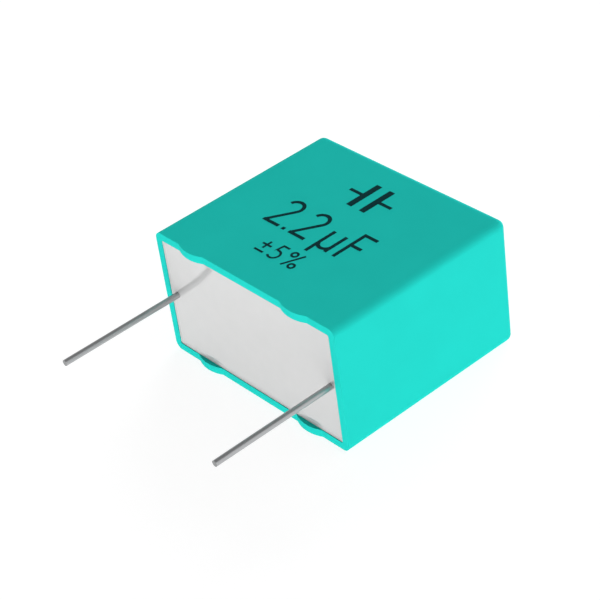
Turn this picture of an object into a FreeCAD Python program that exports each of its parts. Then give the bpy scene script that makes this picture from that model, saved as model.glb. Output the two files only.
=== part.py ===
import FreeCAD, Part
import math
import os

# Box film capacitor: a flattened film roll, sealed with resin in a moulded plastic case,
# with a wire lead at each end. It lies on one of its two large sides.
# Sizes are in millimetres. The origin is the middle of the large side that it lies on.
# +Z points up through the case's thickness, +X from the left lead to the right lead,
# and the leads point along -Y, out of the case's open side.

# Leads
lead_pitch = 27.5  # between the two lead axes
lead_diameter = 0.8
lead_exposed = 17.0  # from the case's rim to the cut tip
weld_length = 12.0  # of each lead, welded flat on the sprayed end of the roll
swage_squeeze = 0.3  # taken off the wire's thickness where it is swaged flat
swage_run = 1.5  # over which the round wire becomes flat

# Case
case_height = 27.5  # along Y, from the rim to the closed end
case_thickness = 17.5  # along Z
wall = 1.0  # of the four side walls
end_wall = 1.0  # of the closed end
edge_radius = 1.0  # of the outer edges along Y and round the closed end
cavity_radius = 0.3  # of the same edges of the cavity
lead_wall_gap = 0.6  # between a lead and the wall beside it

# Standoffs on the rim, which keep the case off the circuit board
standoff_height = 0.5
standoff_chord = 4.4
standoff_end_gap = 4.55  # from the case's end to the nearer edge of a standoff

# Sealing resin
resin_recess = 0.2  # of its face below the rim
resin_cover = 2.5  # between its face and the roll
roll_side_gap = 0.4  # between the roll and each large wall
roll_end_gap = 0.5  # between the roll and the closed end

# Sprayed metal on each end of the roll
spray_thickness = 0.35
spray_margin = 0.2  # of bare roll round the sprayed metal

# Worked out from the sizes above
lead_radius = lead_diameter / 2
swaged_thickness = lead_diameter - swage_squeeze
case_length = lead_pitch + lead_diameter + 2 * (lead_wall_gap + wall)
rim_y = -case_height / 2
closed_y = case_height / 2
mid_z = case_thickness / 2
resin_y = rim_y + resin_recess
roll_first_y = resin_y + resin_cover
roll_last_y = closed_y - end_wall - roll_end_gap
sprayed_width = lead_pitch - lead_diameter
roll_width = sprayed_width - 2 * spray_thickness

X_WAY = FreeCAD.Vector(1, 0, 0)
Y_WAY = FreeCAD.Vector(0, 1, 0)
Z_WAY = FreeCAD.Vector(0, 0, 1)
SIDES = {"left": -1, "right": 1}


def point(x, y, z):
    return FreeCAD.Vector(x, y, z)


def arc(first, middle, last):
    return Part.Arc(first, middle, last).toShape()


def drawn_out(outline, way, length):
    """The solid that a flat outline makes when it is drawn out along a way."""
    return Part.Face(outline).extrude(way * length)


def blind_block(x_size, y_first, y_last, z_first, z_last, radius):
    """A block, centred on X = 0, whose edges along Y and round its +Y end are rounded."""
    corner = point(-x_size / 2, y_first, z_first)
    body = Part.makeBox(x_size, y_last - y_first, z_last - z_first, corner)
    rounded = [edge for edge in body.Edges if edge.BoundBox.YMax > y_last - radius]
    return body.makeFillet(radius, rounded)


def cavity(y_first):
    """The inside of the case from y_first to the closed end."""
    return blind_block(
        case_length - 2 * wall,
        y_first,
        closed_y - end_wall,
        wall,
        case_thickness - wall,
        cavity_radius,
    )


def standoff(x, z_first):
    """A low arc that rises from the rim, as thick as the wall that it stands on."""
    start = point(x - standoff_chord / 2, rim_y, z_first)
    crest = point(x, rim_y - standoff_height, z_first)
    end = point(x + standoff_chord / 2, rim_y, z_first)
    outline = Part.Wire([arc(start, crest, end), Part.makeLine(end, start)])
    return drawn_out(outline, Z_WAY, wall)


def case():
    """The moulded shell, open towards -Y, with two standoffs on each long wall of its rim."""
    outside = blind_block(case_length, rim_y, closed_y, 0, case_thickness, edge_radius)
    past_the_rim = rim_y - standoff_height
    shell = outside.cut(cavity(past_the_rim))
    standoff_x = case_length / 2 - standoff_end_gap - standoff_chord / 2
    standoffs = [
        standoff(side * standoff_x, z_first)
        for side in SIDES.values()
        for z_first in (0, case_thickness - wall)
    ]
    return shell.fuse(standoffs).removeSplitter()


def round_ended(centre, flat_way, thin_way, width, thickness):
    """A flattened outline: two flats along flat_way, joined by a half round at each end."""
    radius = thickness / 2
    first = centre - flat_way * (width / 2 - radius)
    last = centre + flat_way * (width / 2 - radius)
    out = thin_way * radius
    beyond = flat_way * radius
    return Part.Wire(
        [
            Part.makeLine(first + out, last + out),
            arc(last + out, last + beyond, last - out),
            Part.makeLine(last - out, first - out),
            arc(first - out, first - beyond, first + out),
        ]
    )


def flattened_roll(x_first, x_size, margin):
    """The roll's pressed section, less a margin all round, drawn out along X."""
    centre = point(x_first, (roll_first_y + roll_last_y) / 2, mid_z)
    height = roll_last_y - roll_first_y - 2 * margin
    thickness = case_thickness - 2 * (wall + roll_side_gap + margin)
    if height > thickness:
        outline = round_ended(centre, Y_WAY, Z_WAY, height, thickness)
    else:
        outline = round_ended(centre, Z_WAY, Y_WAY, thickness, height)
    return drawn_out(outline, X_WAY, x_size)


def film_winding():
    """All turns of the metallised film, wound and then pressed flat, as one solid."""
    return flattened_roll(-roll_width / 2, roll_width, 0)


def end_spray(side):
    """The sprayed metal that joins the edges of all turns on one end of the roll."""
    x_first = roll_width / 2 if side > 0 else -sprayed_width / 2
    return flattened_roll(x_first, spray_thickness, spray_margin)


def round_section(x, y):
    """The round wire's outline, in four arcs that face the four sides of the flat outline."""

    def at(degrees):
        angle = math.radians(degrees)
        return point(x + lead_radius * math.cos(angle), y, mid_z + lead_radius * math.sin(angle))

    return Part.Wire([arc(at(mid - 45), at(mid), at(mid + 45)) for mid in (0, 90, 180, 270)])


def swaged_section(x, y):
    """The flattened wire's outline, as wide as it takes to keep the round wire's area."""
    area_between_ends = math.pi * (lead_diameter**2 - swaged_thickness**2) / 4
    width = swaged_thickness + area_between_ends / swaged_thickness
    return round_ended(point(x, y, mid_z), Z_WAY, X_WAY, width, swaged_thickness)


def lead(side):
    """A tinned wire: round and straight outside, swaged flat just under the resin's face."""
    x = side * lead_pitch / 2
    flat_x = side * (sprayed_width + swaged_thickness) / 2
    tip_y = rim_y - lead_exposed
    round_end_y = (rim_y + resin_y) / 2
    flat_first_y = round_end_y + swage_run
    flat_last_y = roll_first_y + weld_length
    wire = Part.makeCylinder(lead_radius, round_end_y - tip_y, point(x, tip_y, mid_z), Y_WAY)
    flat_section = swaged_section(flat_x, flat_first_y)
    neck = Part.makeLoft([round_section(x, round_end_y), flat_section], True, True)
    tail = drawn_out(flat_section, Y_WAY, flat_last_y - flat_first_y)
    return wire.fuse([neck, tail]).removeSplitter()


def potting_resin(sealed_in):
    """The resin that fills the case round what is sealed in it, and holds the leads."""
    return cavity(resin_y).cut(sealed_in)


def build():
    parts = {"film_winding": film_winding()}
    for name, side in SIDES.items():
        parts["end_spray_" + name] = end_spray(side)
        parts["lead_" + name] = lead(side)
    parts["potting_resin"] = potting_resin(list(parts.values()))
    parts["case"] = case()
    return parts


os.makedirs("parts", exist_ok=True)
for name, shape in build().items():
    shape.exportStep("parts/" + name + ".step")
    print(name, "solids", len(shape.Solids), "valid", shape.isValid(), "mm3", round(shape.Volume, 2))
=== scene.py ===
import math

import bmesh
import bpy
from mathutils import Matrix, Vector
from mathutils.geometry import delaunay_2d_cdt


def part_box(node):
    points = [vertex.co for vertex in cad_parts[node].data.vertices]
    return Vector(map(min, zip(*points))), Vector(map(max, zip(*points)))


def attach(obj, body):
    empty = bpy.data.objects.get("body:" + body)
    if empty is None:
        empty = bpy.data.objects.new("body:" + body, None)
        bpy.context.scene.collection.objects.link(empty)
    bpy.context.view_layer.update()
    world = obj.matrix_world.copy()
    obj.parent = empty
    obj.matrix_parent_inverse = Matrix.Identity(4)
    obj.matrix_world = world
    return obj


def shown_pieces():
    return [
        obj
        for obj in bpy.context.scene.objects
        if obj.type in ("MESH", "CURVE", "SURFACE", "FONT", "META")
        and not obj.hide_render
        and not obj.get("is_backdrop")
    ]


# A box film capacitor that lies on one of its large sides, with its leads along -Y.
# Places and sizes are in metres, in the part's own frame. Colours are linear.
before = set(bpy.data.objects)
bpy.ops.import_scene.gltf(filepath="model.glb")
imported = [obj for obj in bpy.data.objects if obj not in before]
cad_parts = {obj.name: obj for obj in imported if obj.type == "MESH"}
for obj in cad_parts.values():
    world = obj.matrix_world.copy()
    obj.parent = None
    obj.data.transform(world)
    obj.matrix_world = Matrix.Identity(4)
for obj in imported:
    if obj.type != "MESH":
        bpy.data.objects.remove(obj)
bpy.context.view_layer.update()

MM = 0.001

# Camera
VIEW_AZIMUTH = 52.86  # degrees; 0 looks along +Y and 90 along -X
VIEW_ELEVATION = 35.77
VIEW_ROLL = -8.34
VIEW_DISTANCE = 233.85 * MM
VIEW_AIM = Vector((-2.21, -4.01, 7.83)) * MM
LENS = 116.82  # mm, on a sensor 36 mm wide
NEAREST_SEEN = 10 * MM
FARTHEST_SEEN = 100.0

# Pieces that are added to the solids
SEAT = 0.005 * MM  # how far each one goes into what it sits on
INK_THICKNESS = 0.01 * MM
CAVITY_RADIUS = 0.3 * MM  # of the cavity's corners
CREEP_HEIGHT = 0.1 * MM  # of the resin at the walls, above its face
CREEP_WIDTH = 0.45 * MM  # from each wall
CREEP_STEPS = 6  # along its curve, and round each corner
MERGED_WITHIN = 0.0001 * MM  # corners of its mesh nearer than this become one

# Print on the upper large side; lengths in millimetres
PRINT_MIDDLE_X = -0.05
RATING_HEIGHT = 5.5
RATING_STROKE = 0.5
RATING_BASELINE_Y = -4.0
RATING_GAPS = [0.11, 0.13, 0.28, 0.17]  # between its characters, in heights
TOLERANCE_HEIGHT = 2.9
TOLERANCE_STROKE = 0.31
TOLERANCE_BASELINE_Y = -8.9
TOLERANCE_GAPS = [0.2, 0.2]
SYMBOL_MIDDLE_Y = 7.0
SYMBOL_PLATE_HEIGHT = 5.2
SYMBOL_PLATE_STROKE = 0.9
SYMBOL_PLATE_GAP = 1.3
SYMBOL_LEAD_LENGTH = 2.0
ARC_STEP = 9  # degrees between the points of a round stroke
CLOSED_WITHIN = 1e-6  # a stroke whose ends are nearer than this is closed
JOINED_WITHIN = 1e-5  # points of a flat mesh nearer than this become one
INSIDE_ONLY = 1  # the kind of flat mesh that covers its outlines and nothing else

# The four corners of a rectangle, as ways from its middle, anticlockwise
CORNER_WAYS = ((1, 1), (-1, 1), (-1, -1), (1, -1))


# Strokes, as lists of points on their middle lines

def turn(centre, radius, first, last):
    """Points on an arc from one angle to another, in degrees; it may run either way."""
    steps = math.ceil(abs(last - first) / ARC_STEP)
    angles = [math.radians(first + (last - first) * i / steps) for i in range(steps + 1)]
    return [centre + radius * Vector((math.cos(a), math.sin(a))) for a in angles]


def line(*points):
    return [Vector(p) for p in points]


def tangent_angle(centre, radius, end):
    """Where a line from end touches a circle on its right-hand side, in degrees."""
    away = Vector(end) - centre
    return math.degrees(math.atan2(away.y, away.x) + math.acos(radius / away.length))


# Characters, one unit tall, as (width, strokes); pen is the stroke's width

def digit_two(pen):
    radius = 0.2
    hook_angle = 165  # where its arc starts
    centre = Vector((radius + pen / 2, 1 - pen / 2 - radius))
    foot = Vector((pen / 2, pen / 2))
    arc = turn(centre, radius, hook_angle, tangent_angle(centre, radius, foot))
    width = 2 * radius + pen
    return width, [arc + [foot], line((0, pen / 2), (width, pen / 2))]


def digit_five(pen):
    radius = 0.27
    overhang = 0.02  # of the bowl's circle, to the left
    first_angle = 118
    last_angle = -140
    lean = 0.05  # of the stem between the bar and the bowl
    centre = Vector((radius - overhang, radius + pen / 2))
    width = centre.x + radius + pen / 2
    top = 1 - pen / 2
    bowl = turn(centre, radius, first_angle, last_angle)
    return width, [line((width - pen / 2, top), (bowl[0].x + lean, top)) + bowl]


def decimal_point(pen):
    return pen, [line((pen / 2, 0), (pen / 2, pen))]


def letter_mu(pen):
    radius = 0.18
    x_height = 0.66
    tail = -0.22
    left = pen / 2
    right = left + 2 * radius
    bowl = turn(Vector((left + radius, radius + pen / 2)), radius, 180, 360)
    return right + pen / 2, [
        line((left, tail), (left, x_height)),
        bowl,
        line((right, 0), (right, x_height)),
    ]


def letter_f(pen):
    width = 0.42
    middle = 0.52
    middle_width = 0.88 * width
    top = 1 - pen / 2
    return width, [
        line((pen / 2, 0), (pen / 2, 1)),
        line((0, top), (width, top)),
        line((0, middle), (middle_width, middle)),
    ]


def plus_minus(pen):
    width = 0.52
    middle = 0.58
    reach = width / 2
    return width, [
        line((0, middle), (width, middle)),
        line((reach, middle - reach), (reach, middle + reach)),
        line((0, pen), (width, pen)),
    ]


def percent(pen):
    radius = 0.14
    width = 0.84
    bar_foot = 0.24 * width
    upper = Vector((radius + pen / 2, 1 - pen / 2 - radius))
    lower = Vector((width - upper.x, 1 - upper.y))
    return width, [
        line((bar_foot, 0), (width - bar_foot, 1)),
        turn(upper, radius, 0, 360),
        turn(lower, radius, 0, 360),
    ]


def text_line(characters, gaps, height, stroke, baseline_y):
    """The strokes of each character in millimetres, for a line in the middle of the print."""
    pen = stroke / height
    made = [character(pen) for character in characters]
    total = sum(width for width, _ in made) + sum(gaps)
    place = Vector((PRINT_MIDDLE_X, baseline_y))
    x = -total / 2
    groups = []
    for (width, shapes), gap in zip(made, gaps + [0]):
        start = Vector((x, 0))
        groups.append([([place + height * (start + p) for p in shape], stroke) for shape in shapes])
        x += width + gap
    return groups


def rating():
    """A plain value, 2.2 microfarad."""
    characters = [digit_two, decimal_point, digit_two, letter_mu, letter_f]
    return text_line(characters, RATING_GAPS, RATING_HEIGHT, RATING_STROKE, RATING_BASELINE_Y)


def tolerance():
    """A plain tolerance, plus or minus 5 %."""
    characters = [plus_minus, digit_five, percent]
    return text_line(
        characters, TOLERANCE_GAPS, TOLERANCE_HEIGHT, TOLERANCE_STROKE, TOLERANCE_BASELINE_Y
    )


def circuit_symbol():
    """A capacitor's sign in a circuit diagram: two plates, each with a lead."""
    strokes = []
    plate_x = (SYMBOL_PLATE_GAP + SYMBOL_PLATE_STROKE) / 2
    lead_first = SYMBOL_PLATE_GAP / 2 + SYMBOL_PLATE_STROKE
    half = SYMBOL_PLATE_HEIGHT / 2
    place = Vector((PRINT_MIDDLE_X, SYMBOL_MIDDLE_Y))
    for side in (-1, 1):
        plate = line((side * plate_x, -half), (side * plate_x, half))
        lead = line((side * lead_first, 0), (side * (lead_first + SYMBOL_LEAD_LENGTH), 0))
        strokes.append(([place + p for p in plate], SYMBOL_PLATE_STROKE))
        strokes.append(([place + p for p in lead], RATING_STROKE))
    return [strokes]


# Meshes of the added pieces

def ribbon(points, width):
    """The stroke as two rows of points, left and right of its middle line, with mitred corners."""
    ways = [(b - a).normalized() for a, b in zip(points, points[1:])]
    before = [ways[0]] + ways
    after = ways + [ways[-1]]
    if (points[0] - points[-1]).length < CLOSED_WITHIN:
        before[0] = ways[-1]
        after[-1] = ways[0]
    rows = []
    for point, first, second in zip(points, before, after):
        mitre = (first + second).orthogonal() / (1 + first.dot(second)) * width / 2
        rows += [point + mitre, point - mitre]
    return rows


def flat_ink(mesh, strokes, z):
    """Adds flat faces to a mesh for strokes that touch, joined where they meet."""
    points = []
    quads = []
    for middle_line, width in strokes:
        start = len(points)
        points += ribbon(middle_line, width)
        quads += [[i, i + 1, i + 3, i + 2] for i in range(start, len(points) - 2, 2)]
    flat = delaunay_2d_cdt(points, [], quads, INSIDE_ONLY, JOINED_WITHIN)
    places, _, faces, _, _, covers = flat
    corners = [mesh.verts.new((p.x * MM, p.y * MM, z)) for p in places]
    for face, covering_quads in zip(faces, covers):
        if covering_quads:
            mesh.faces.new([corners[i] for i in face])


def added_piece(name, mesh, material):
    """Makes a closed mesh a piece of the part."""
    bmesh.ops.recalc_face_normals(mesh, faces=mesh.faces[:])
    data = bpy.data.meshes.new(name)
    mesh.to_mesh(data)
    mesh.free()
    data.materials.append(material)
    piece = bpy.data.objects.new(name, data)
    bpy.context.scene.collection.objects.link(piece)
    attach(piece, "root")


def ink_solid(name, groups, base_z, material):
    """Thin closed solids, one for each group of strokes."""
    mesh = bmesh.new()
    for strokes in groups:
        flat_ink(mesh, strokes, base_z - SEAT)
    raised = bmesh.ops.extrude_face_region(mesh, geom=mesh.faces[:])["geom"]
    for part in raised:
        if isinstance(part, bmesh.types.BMVert):
            part.co.z += SEAT + INK_THICKNESS
    added_piece(name, mesh, material)


def resin_creep(material):
    """A narrow concave bead all round the resin's face, where it has crept up the walls."""
    low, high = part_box("potting_resin")
    walls = {-1: low, 1: high}
    steps = [i / CREEP_STEPS for i in range(CREEP_STEPS + 1)]
    curve = [(CREEP_WIDTH * step, CREEP_HEIGHT * (1 - step) ** 2) for step in steps]
    section = [(-SEAT, -SEAT), (-SEAT, CREEP_HEIGHT)] + curve + [(CREEP_WIDTH, -SEAT)]
    mesh = bmesh.new()
    rings = []
    for quarter, (x_way, z_way) in enumerate(CORNER_WAYS):
        for step in steps:
            angle = (quarter + step) * math.pi / 2
            corners = []
            for inward, height in section:
                reach = max(CAVITY_RADIUS, inward)  # past the cavity's radius its corner is sharp
                x = walls[x_way].x - x_way * reach + (reach - inward) * math.cos(angle)
                z = walls[z_way].z - z_way * reach + (reach - inward) * math.sin(angle)
                corners.append(mesh.verts.new((x, low.y - height, z)))
            rings.append(corners)
    for ring, following in zip(rings, rings[1:] + rings[:1]):
        for i in range(len(section)):
            mesh.faces.new((ring[i - 1], ring[i], following[i], following[i - 1]))
    bmesh.ops.remove_doubles(mesh, verts=mesh.verts[:], dist=MERGED_WITHIN)
    added_piece("resin_creep", mesh, material)


# Nodes that materials share
GREY_LOW = 0.3  # nearly all of a noise texture is between these two
GREY_HIGH = 0.7


def principled(name):
    """A new material, its node tree and its shader."""
    made = bpy.data.materials.new(name)
    made.use_nodes = True
    tree = made.node_tree
    return made, tree, tree.nodes["Principled BSDF"]


def coordinates(tree, kind):
    """X, Y and Z of each point of a surface (kind Object) or of its normal (kind Normal)."""
    where = tree.nodes.new("ShaderNodeTexCoord")
    split = tree.nodes.new("ShaderNodeSeparateXYZ")
    tree.links.new(where.outputs[kind], split.inputs["Vector"])
    return split.outputs


def worked_out(tree, operation, *values):
    """What a maths operation gives for values that are numbers or outputs of nodes."""
    made = tree.nodes.new("ShaderNodeMath")
    made.operation = operation
    for socket, value in zip(made.inputs, values):
        if isinstance(value, bpy.types.NodeSocket):
            tree.links.new(value, socket)
        else:
            socket.default_value = value
    return made.outputs["Value"]


def mapped(tree, value, from_first, from_last, to_first, to_last):
    """A value moved from one range to another, and held at its ends."""
    made = tree.nodes.new("ShaderNodeMapRange")
    made.inputs["From Min"].default_value = from_first
    made.inputs["From Max"].default_value = from_last
    made.inputs["To Min"].default_value = to_first
    made.inputs["To Max"].default_value = to_last
    tree.links.new(value, made.inputs["Value"])
    return made.outputs["Result"]


def noise(tree, grain, detail=2):
    """Grey noise whose grains are so many metres along X, Y and Z."""
    where = tree.nodes.new("ShaderNodeTexCoord")
    scaled = tree.nodes.new("ShaderNodeMapping")
    scaled.inputs["Scale"].default_value = [1 / size for size in grain]
    made = tree.nodes.new("ShaderNodeTexNoise")
    made.inputs["Scale"].default_value = 1
    made.inputs["Detail"].default_value = detail
    tree.links.new(where.outputs["Object"], scaled.inputs["Vector"])
    tree.links.new(scaled.outputs["Vector"], made.inputs["Vector"])
    return made.outputs["Fac"]


def even(size):
    return (size, size, size)


def shade(colour, factor):
    return [channel * factor for channel in colour]


def coloured(tree, shader, grey, colour, darkest, lightest):
    """Gives a shader shades of one colour, as a noise's grey goes."""
    ramp = tree.nodes.new("ShaderNodeValToRGB")
    stops = ramp.color_ramp.elements
    stops[0].position = GREY_LOW
    stops[1].position = GREY_HIGH
    stops[0].color = (*shade(colour, darkest), 1)
    stops[1].color = (*shade(colour, lightest), 1)
    tree.links.new(grey, ramp.inputs["Fac"])
    tree.links.new(ramp.outputs["Color"], shader.inputs["Base Color"])


def roughened(tree, socket, grey, smoothest, roughest):
    """Gives a socket a roughness, as a noise's grey goes."""
    tree.links.new(mapped(tree, grey, GREY_LOW, GREY_HIGH, smoothest, roughest), socket)


def relief(tree, shader, layers):
    """Bumps on a shader, from (grey, depth in metres) layers, one over the other."""
    normal = None
    for grey, depth in layers:
        bump = tree.nodes.new("ShaderNodeBump")
        bump.inputs["Distance"].default_value = depth
        tree.links.new(grey, bump.inputs["Height"])
        if normal:
            tree.links.new(normal, bump.inputs["Normal"])
        normal = bump.outputs["Normal"]
    tree.links.new(normal, shader.inputs["Normal"])


# Materials
TEAL = (0.018, 0.638, 0.56)
RESIN_GREY = (0.535, 0.535, 0.534)
RESIN_IOR = 2.9  # of its face, glossy enough to mirror the leads
CREEP_IOR = 2.0  # of its edge
MENISCUS_REACH = 6 * MM  # from each wall to where the resin's face is flat
MENISCUS_HEIGHT = 0.3 * MM
INK = (0.007, 0.042, 0.046)
TIN = (0.49, 0.498, 0.505)
CUT_ROUGHNESS = 0.7  # of the wires' cut ends
CUT_NORMAL_Y = -0.9  # a wire's surface is a cut end where its normal's Y is under this
ZINC = (0.42, 0.43, 0.44)
FILM = (0.55, 0.56, 0.58)
MATT_GLOSS = 0.01  # the specular level of the matt plastics


def case_plastic():
    """Moulded plastic with a fine satin grain."""
    made, tree, shader = principled("case_plastic")
    shader.inputs["Specular IOR Level"].default_value = MATT_GLOSS
    cloud = noise(tree, even(6 * MM))
    grain = noise(tree, even(0.09 * MM))
    sink = noise(tree, even(9 * MM), detail=0)
    coloured(tree, shader, cloud, TEAL, darkest=0.985, lightest=1.015)
    roughened(tree, shader.inputs["Roughness"], grain, smoothest=0.5, roughest=0.6)
    relief(tree, shader, [(sink, 0.012 * MM), (grain, 0.003 * MM)])
    return made


def dished(tree, low, high, reach):
    """Height of a face that creeps up the walls round it: a sum of squares, 1 at each wall."""
    where = coordinates(tree, "Object")
    heights = []
    for axis, first, last in (("X", low.x, high.x), ("Z", low.z, high.z)):
        middle = (first + last) / 2
        half = (last - first) / 2
        away = worked_out(tree, "ABSOLUTE", worked_out(tree, "SUBTRACT", where[axis], middle))
        climb = mapped(tree, away, half - reach, half, 0, 1)
        heights.append(worked_out(tree, "POWER", climb, 2))
    return worked_out(tree, "ADD", *heights)


def cast_resin(name, ior):
    """Cast resin with a faint mottle, a little higher at the case's walls."""
    made, tree, shader = principled(name)
    shader.inputs["IOR"].default_value = ior
    mottle = noise(tree, even(2.2 * MM), detail=4)
    meniscus = dished(tree, *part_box("potting_resin"), MENISCUS_REACH)
    coloured(tree, shader, mottle, RESIN_GREY, darkest=0.985, lightest=1.015)
    roughened(tree, shader.inputs["Roughness"], mottle, smoothest=0.08, roughest=0.12)
    relief(tree, shader, [(mottle, 0.003 * MM), (meniscus, MENISCUS_HEIGHT)])
    return made


def tinned_wire():
    """Tinned wire with fine lines along it, as drawing leaves them, and rougher cut ends."""
    made, tree, shader = principled("tinned_wire")
    lines = noise(tree, (0.05 * MM, 9 * MM, 0.05 * MM), detail=0)
    patches = noise(tree, (0.6 * MM, 1.6 * MM, 0.6 * MM), detail=1)
    cut_end = worked_out(tree, "LESS_THAN", coordinates(tree, "Normal")["Y"], CUT_NORMAL_Y)
    rough = tree.nodes.new("ShaderNodeMix")
    rough.inputs["B"].default_value = CUT_ROUGHNESS
    tree.links.new(cut_end, rough.inputs["Factor"])
    tree.links.new(rough.outputs["Result"], shader.inputs["Roughness"])
    shader.inputs["Metallic"].default_value = 1
    coloured(tree, shader, patches, TIN, darkest=0.96, lightest=1.04)
    roughened(tree, rough.inputs["A"], patches, smoothest=0.36, roughest=0.4)
    relief(tree, shader, [(lines, 0.0003 * MM)])
    return made


def sprayed_zinc():
    """Grainy metal, as flame spraying leaves it."""
    made, tree, shader = principled("sprayed_zinc")
    shader.inputs["Metallic"].default_value = 0.9
    grain = noise(tree, even(0.16 * MM), detail=4)
    coloured(tree, shader, grain, ZINC, darkest=0.8, lightest=1.15)
    roughened(tree, shader.inputs["Roughness"], grain, smoothest=0.55, roughest=0.75)
    relief(tree, shader, [(grain, 0.05 * MM)])
    return made


def metallised_film():
    """The roll's outer turns: bright film with faint lines across its width."""
    made, tree, shader = principled("metallised_film")
    shader.inputs["Metallic"].default_value = 0.7
    turns = noise(tree, (6 * MM, 0.12 * MM, 0.12 * MM))
    coloured(tree, shader, turns, FILM, darkest=0.94, lightest=1.05)
    roughened(tree, shader.inputs["Roughness"], turns, smoothest=0.18, roughest=0.3)
    relief(tree, shader, [(turns, 0.006 * MM)])
    return made


def printing_ink():
    """Dark ink, laid a little unevenly."""
    made, tree, shader = principled("ink")
    shader.inputs["Specular IOR Level"].default_value = MATT_GLOSS
    cover = noise(tree, even(0.25 * MM), detail=3)
    coloured(tree, shader, cover, INK, darkest=0.8, lightest=1.3)
    roughened(tree, shader.inputs["Roughness"], cover, smoothest=0.42, roughest=0.58)
    relief(tree, shader, [(cover, 0.002 * MM)])
    return made


def dress(material, *nodes):
    """Gives CAD nodes a material."""
    for name in nodes:
        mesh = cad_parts[name].data
        mesh.materials.clear()
        mesh.materials.append(material)


dress(case_plastic(), "case")
dress(cast_resin("resin", RESIN_IOR), "potting_resin")
dress(metallised_film(), "film_winding")
dress(sprayed_zinc(), "end_spray_left", "end_spray_right")
dress(tinned_wire(), "lead_left", "lead_right")

# Added pieces
resin_creep(cast_resin("resin_edge", CREEP_IOR))
ink = printing_ink()
upper_side_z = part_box("case")[1].z
prints = {"rating": rating(), "tolerance": tolerance(), "circuit_symbol": circuit_symbol()}
for name, groups in prints.items():
    ink_solid("print_" + name, groups, upper_side_z, ink)

# Floor and background, in metres
FLOOR_REACH = 3.0
FLOOR_DROP = 0.02 * MM  # below the side that the part lies on
FLOOR_COLOUR = (0.8, 0.8, 0.8)
FLOOR_GLOW = 0.88  # what the camera sees of the floor without its light and shadow
FLOOR_SHADE = 0.3  # the share of its light and shadow that the camera sees
WALL_RADIUS = 2.5
WALL_HEIGHT = 0.7  # where it is lowest
WALL_RISE = 1.3  # from there to its highest place
WALL_RISE_WAY = math.radians(33)  # where it is highest, from +X towards +Y
WALL_RISE_POWER = 4  # more makes the high stretch shorter
WALL_SIDES = 48
WALL_COLOUR = (0.4, 0.4, 0.4)
WALL_GLOW = 1.0
WALL_SHADE = 0.0
STUDIO_COLOUR = (1, 1, 1)
STUDIO_LIGHT = 0.2
STUDIO_MIRRORED = 0.33


def seen(tree):
    """1 for what the camera sees, straight or mirrored, and 0 for what only gives light."""
    path = tree.nodes.new("ShaderNodeLightPath")
    return worked_out(tree, "MAXIMUM", path.outputs["Is Camera Ray"], path.outputs["Is Glossy Ray"])


def matt(tree, colour):
    made = tree.nodes.new("ShaderNodeBsdfDiffuse")
    made.inputs["Color"].default_value = (*colour, 1)
    return made.outputs["BSDF"]


def stage_material(name, colour, strength, share):
    """Matt, but seen or mirrored it is a glow with a share of its own light and shadow."""
    made = bpy.data.materials.new(name)
    made.use_nodes = True
    tree = made.node_tree
    tree.nodes.clear()
    glow = tree.nodes.new("ShaderNodeEmission")
    glow.inputs["Strength"].default_value = strength
    shown = tree.nodes.new("ShaderNodeAddShader")
    tree.links.new(glow.outputs["Emission"], shown.inputs[0])
    tree.links.new(matt(tree, shade(colour, share)), shown.inputs[1])
    choice = tree.nodes.new("ShaderNodeMixShader")
    tree.links.new(seen(tree), choice.inputs["Fac"])
    tree.links.new(matt(tree, colour), choice.inputs[1])
    tree.links.new(shown.outputs["Shader"], choice.inputs[2])
    output = tree.nodes.new("ShaderNodeOutputMaterial")
    tree.links.new(choice.outputs["Shader"], output.inputs["Surface"])
    return made


def stage_mesh(name, corners, faces, material):
    data = bpy.data.meshes.new(name)
    data.from_pydata(corners, [], faces)
    data.materials.append(material)
    made = bpy.data.objects.new(name, data)
    bpy.context.scene.collection.objects.link(made)
    made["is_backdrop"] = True


def floor():
    """Level and white, with a faint shadow of the part on it."""
    corners = [(x * FLOOR_REACH, y * FLOOR_REACH, -FLOOR_DROP) for x, y in CORNER_WAYS]
    material = stage_material("floor", FLOOR_COLOUR, FLOOR_GLOW, FLOOR_SHADE)
    stage_mesh("floor", corners, [(0, 1, 2, 3)], material)


def backdrop():
    """A white wall, round the floor on all sides, which rises towards one side."""
    angles = [2 * math.pi * i / WALL_SIDES for i in range(WALL_SIDES)]
    foot = [(WALL_RADIUS * math.cos(a), WALL_RADIUS * math.sin(a), -FLOOR_DROP) for a in angles]
    rises = [WALL_RISE * math.cos((a - WALL_RISE_WAY) / 2) ** WALL_RISE_POWER for a in angles]
    corners = foot + [(x, y, WALL_HEIGHT + rise) for (x, y, _), rise in zip(foot, rises)]
    sides = [(i, (i + 1) % WALL_SIDES) for i in range(WALL_SIDES)]
    faces = [(a, b, b + WALL_SIDES, a + WALL_SIDES) for a, b in sides]
    material = stage_material("backdrop", WALL_COLOUR, WALL_GLOW, WALL_SHADE)
    stage_mesh("backdrop", corners, faces, material)


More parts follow.
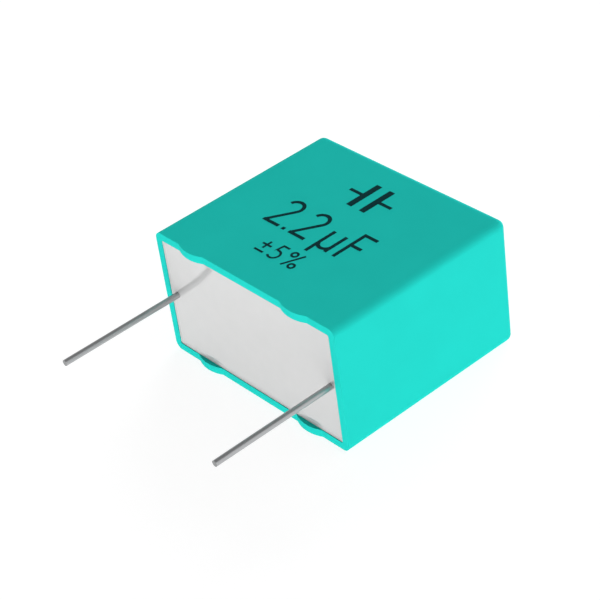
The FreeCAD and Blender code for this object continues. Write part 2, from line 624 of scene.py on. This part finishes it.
def studio():
    """Even grey light from all round, which mirrors show a little brighter."""
    world = bpy.data.worlds.new("studio")
    bpy.context.scene.world = world
    world.use_nodes = True
    tree = world.node_tree
    background = tree.nodes["Background"]
    background.inputs["Color"].default_value = (*STUDIO_COLOUR, 1)
    strength = mapped(tree, seen(tree), 0, 1, STUDIO_LIGHT, STUDIO_MIRRORED)
    tree.links.new(strength, background.inputs["Strength"])


# Lamps. A level of 1 shows a surface that faces the lamp in its own colour.

def lamp(name, way, level, spread):
    """A far lamp whose light travels along way; spread is its angle across, in degrees."""
    data = bpy.data.lights.new(name, "SUN")
    data.energy = level * math.pi
    data.angle = math.radians(spread)
    data.cycles.use_multiple_importance_sampling = False  # or the floor takes some of its light
    made = bpy.data.objects.new(name, data)
    made.visible_glossy = False  # mirrors show the floor and the studio, not the lamps beyond
    made.rotation_euler = Vector(way).to_track_quat("-Z", "Y").to_euler()
    bpy.context.scene.collection.objects.link(made)
    return made


def lamps():
    """Four lamps. Two shine from below the floor and the wall, so only the part may shade them."""
    part = bpy.data.collections.new("part")
    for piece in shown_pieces():
        part.objects.link(piece)
    for made in (
        lamp("front_lamp", way=(0, 1, 0.4), level=0.745, spread=40),
        lamp("right_lamp", way=(-1, -0.15, 0.35), level=0.645, spread=90),
        lamp("high_back_lamp", way=(-0.6, -1, -1), level=0.23, spread=60),
        lamp("back_left_lamp", way=(0.5, -1, -0.5), level=0.6, spread=40),
    ):
        made.light_linking.blocker_collection = part


def camera():
    azimuth = math.radians(VIEW_AZIMUTH)
    elevation = math.radians(VIEW_ELEVATION)
    level = math.cos(elevation)
    back = Vector((math.sin(azimuth) * level, -math.cos(azimuth) * level, math.sin(elevation)))
    data = bpy.data.cameras.new("camera")
    data.lens = LENS
    data.clip_start = NEAREST_SEEN
    data.clip_end = FARTHEST_SEEN
    made = bpy.data.objects.new("camera", data)
    upright = (-back).to_track_quat("-Z", "Y").to_matrix()
    turned = upright @ Matrix.Rotation(math.radians(VIEW_ROLL), 3, "Z")
    made.matrix_world = Matrix.Translation(VIEW_AIM + back * VIEW_DISTANCE) @ turned.to_4x4()
    bpy.context.scene.collection.objects.link(made)
    bpy.context.scene.camera = made


floor()
backdrop()
studio()
lamps()
camera()
bpy.context.scene.view_settings.view_transform = "Standard"
